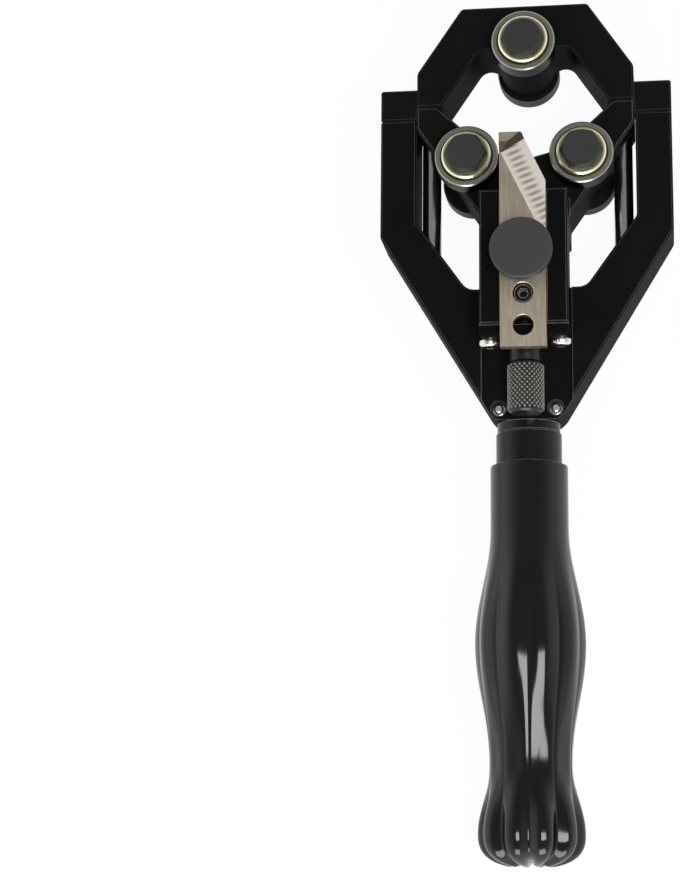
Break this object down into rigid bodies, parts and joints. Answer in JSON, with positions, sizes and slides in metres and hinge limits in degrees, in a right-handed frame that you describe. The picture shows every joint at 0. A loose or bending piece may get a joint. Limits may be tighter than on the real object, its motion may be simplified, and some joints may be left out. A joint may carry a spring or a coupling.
{
  "type": "cable jacket stripper",
  "caption": "Screw-operated stripper for round cable jackets, with an arched fixed jaw, a sliding jaw on guide rods, ball-bearing rollers, a clamped blade and a fluted turning grip.",
  "frame": {"origin": "middle of the bounding box at the level of the rear nuts' ends, on which the tool lies", "axes": "+Y along the tool from the grip to the head, +Z out of the front face, +X to the right seen from the front"},
  "size_m": [0.101, 0.2968, 0.059],
  "materials": {
    "anodised_black": "black anodised, fine satin",
    "block_black": "black anodised, machined",
    "black_oxide": "black oxide steel",
    "bearing_steel": "ground bearing steel",
    "yellow_zinc": "yellow zinc plate",
    "bright_steel": "bright machined steel",
    "tool_steel": "ground tool steel",
    "knurled_steel": "dark knurled steel",
    "knob_black": "black turned aluminium",
    "bronze": "plain bronze",
    "grip_black": "glossy black moulded plastic"
  },
  "bodies": {
    "frame": {"ear_screws": "black_oxide", "hub_nut": "bronze", "keeper_screws": "bright_steel", "left_guide_rod": "bright_steel", "right_guide_rod": "bright_steel", "top_axle_bolt": "black_oxide", "top_axle_nut": "black_oxide", "top_axle_spacers": "bearing_steel", "top_axle_washer": "yellow_zinc", "top_inner_rings": "bearing_steel", "upper_jaw": "anodised_black", "yoke_frame": "anodised_black"},
    "lower_jaw": {"blade_block": "block_black", "block_screws": "black_oxide", "end_plate": "block_black", "end_plate_screws": "bright_steel", "left_axle_bolt": "black_oxide", "left_axle_nut": "black_oxide", "left_axle_spacers": "bearing_steel", "left_axle_washer": "yellow_zinc", "left_inner_rings": "bearing_steel", "lower_jaw": "anodised_black", "right_axle_bolt": "black_oxide", "right_axle_nut": "black_oxide", "right_axle_spacers": "bearing_steel", "right_axle_washer": "yellow_zinc", "right_inner_rings": "bearing_steel", "swivel_pins": "bright_steel"},
    "handle": {"drive_screw": "bright_steel", "grip": "grip_black", "handle_collar": "knob_black", "thrust_washer": "bronze"},
    "blade_carriage": {"blade": "tool_steel", "blade_carriage": "block_black", "lock_screw": "black_oxide"},
    "clamp_knob": {"clamp_knob": "knob_black", "clamp_stud": "black_oxide", "clamp_washer": "bright_steel"},
    "depth_knob": {"depth_knob": "knurled_steel", "depth_ring": "bright_steel", "depth_screw": "black_oxide"},
    "top_front_roller": {"top_front_outer_ring": "bearing_steel", "top_front_shields": "bearing_steel"},
    "top_rear_roller": {"top_rear_outer_ring": "bearing_steel", "top_rear_shields": "bearing_steel"},
    "left_front_roller": {"left_front_outer_ring": "bearing_steel", "left_front_shields": "bearing_steel"},
    "left_rear_roller": {"left_rear_outer_ring": "bearing_steel", "left_rear_shields": "bearing_steel"},
    "right_front_roller": {"right_front_outer_ring": "bearing_steel", "right_front_shields": "bearing_steel"},
    "right_rear_roller": {"right_rear_outer_ring": "bearing_steel", "right_rear_shields": "bearing_steel"}
  },
  "joints": [
    {"name": "jaw_slide", "type": "slide", "parent": "frame", "child": "lower_jaw", "axis": [0, -1, 0], "range_m": [0, 0.016]},
    {"name": "handle_turn", "type": "hinge", "parent": "lower_jaw", "child": "handle", "pos_m": [0, 0.03015, 0.0225], "axis": [0, -1, 0], "range_deg": [-1, 2881]},
    {"name": "blade_slide", "type": "slide", "parent": "lower_jaw", "child": "blade_carriage", "axis": [0, 1, 0], "range_m": [-0.0048, 0.0016]},
    {"name": "depth_turn", "type": "hinge", "parent": "lower_jaw", "child": "depth_knob", "pos_m": [0, 0.02015, 0.0379], "axis": [0, -1, 0], "range_deg": [-2161, 721]},
    {"name": "clamp_turn", "type": "hinge", "parent": "blade_carriage", "child": "clamp_knob", "pos_m": [0, 0.05245, 0.0525], "axis": [0, 0, 1], "range_deg": [0, 360]},
    {"name": "top_front_spin", "type": "hinge", "parent": "frame", "child": "top_front_roller", "pos_m": [0, 0.13245, 0.0375], "axis": [0, 0, 1], "continuous": true},
    {"name": "top_rear_spin", "type": "hinge", "parent": "frame", "child": "top_rear_roller", "pos_m": [0, 0.13245, 0.0075], "axis": [0, 0, 1], "continuous": true},
    {"name": "left_front_spin", "type": "hinge", "parent": "lower_jaw", "child": "left_front_roller", "pos_m": [-0.0197, 0.09105, 0.0375], "axis": [0, 0, 1], "continuous": true},
    {"name": "left_rear_spin", "type": "hinge", "parent": "lower_jaw", "child": "left_rear_roller", "pos_m": [-0.0197, 0.09105, 0.0075], "axis": [0, 0, 1], "continuous": true},
    {"name": "right_front_spin", "type": "hinge", "parent": "lower_jaw", "child": "right_front_roller", "pos_m": [0.0197, 0.09105, 0.0375], "axis": [0, 0, 1], "continuous": true},
    {"name": "right_rear_spin", "type": "hinge", "parent": "lower_jaw", "child": "right_rear_roller", "pos_m": [0.0197, 0.09105, 0.0075], "axis": [0, 0, 1], "continuous": true}
  ],
  "couplings": [
    {"joint": "handle_turn", "follows": "jaw_slide", "rad_per_m": 3141.6},
    {"joint": "depth_turn", "follows": "blade_slide", "rad_per_m": 7854}
  ]
}
